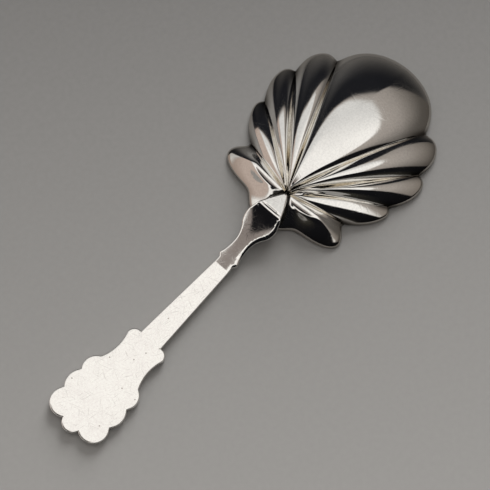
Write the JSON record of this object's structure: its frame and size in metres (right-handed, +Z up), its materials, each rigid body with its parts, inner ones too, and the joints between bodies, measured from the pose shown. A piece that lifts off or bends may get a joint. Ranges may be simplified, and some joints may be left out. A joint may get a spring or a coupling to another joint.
{
  "type": "caddy spoon",
  "caption": "Silver spoon with a fluted shell bowl soldered to a flat handle that ends in a scalloped terminal, lying face down; scoops tea leaves or sugar.",
  "frame": {"origin": "middle of the spoon's outline on the surface that it lies on", "axes": "+X along the spoon towards the bowl's tip, +Z up, out of the back of the bowl, so the bowl opens towards -Z"},
  "size_m": [0.1002, 0.0382, 0.0076],
  "materials": {
    "bowl_silver": "polished, with fine wear",
    "handle_silver": "polished, finely scratched",
    "solder": "dull silver solder"
  },
  "bodies": {
    "root": {"bowl": "bowl_silver", "handle": "handle_silver", "solder_seam": "solder"}
  },
  "joints": []
}
